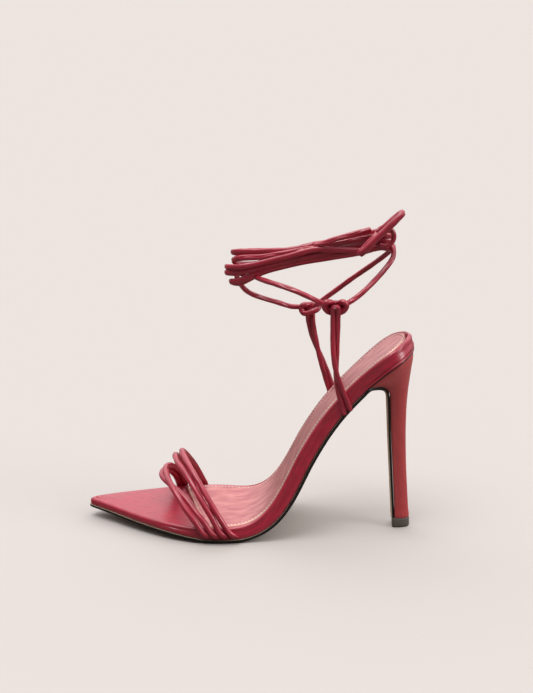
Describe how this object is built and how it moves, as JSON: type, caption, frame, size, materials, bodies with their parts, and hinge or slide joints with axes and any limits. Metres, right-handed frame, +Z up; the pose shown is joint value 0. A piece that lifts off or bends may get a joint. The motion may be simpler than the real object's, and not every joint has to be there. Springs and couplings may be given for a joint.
{
  "type": "lace up heeled sandal",
  "caption": "Pointed stiletto sandal with thin toe straps, side loops and a lace wrapped and tied round the ankle; one left shoe.",
  "frame": {"origin": "on the floor under the ball of the foot, on the outsole's flat tread", "axes": "+Z up, -X towards the toe, +X towards the heel, -Y the outer side of the foot"},
  "size_m": [0.2107, 0.0852, 0.2114],
  "materials": {
    "raspberry_satin": "satin",
    "coral_satin": "satin",
    "rose_sock": "metallic sheen",
    "black_edged_sole": "painted edge, cream underside",
    "top_lift": "matt"
  },
  "bodies": {
    "root": {"footbed": "raspberry_satin", "insole_sock": "rose_sock", "outsole": "black_edged_sole", "heel": "coral_satin", "heel_tip": "top_lift", "toe_straps_front": "raspberry_satin", "toe_strap_rear_a": "raspberry_satin", "toe_strap_rear_b": "raspberry_satin", "instep_loop_outer": "raspberry_satin", "instep_loop_inner": "raspberry_satin", "ankle_tie": "raspberry_satin", "back_knot": "raspberry_satin", "bow_loop": "raspberry_satin", "tie_end": "raspberry_satin"}
  },
  "joints": []
}
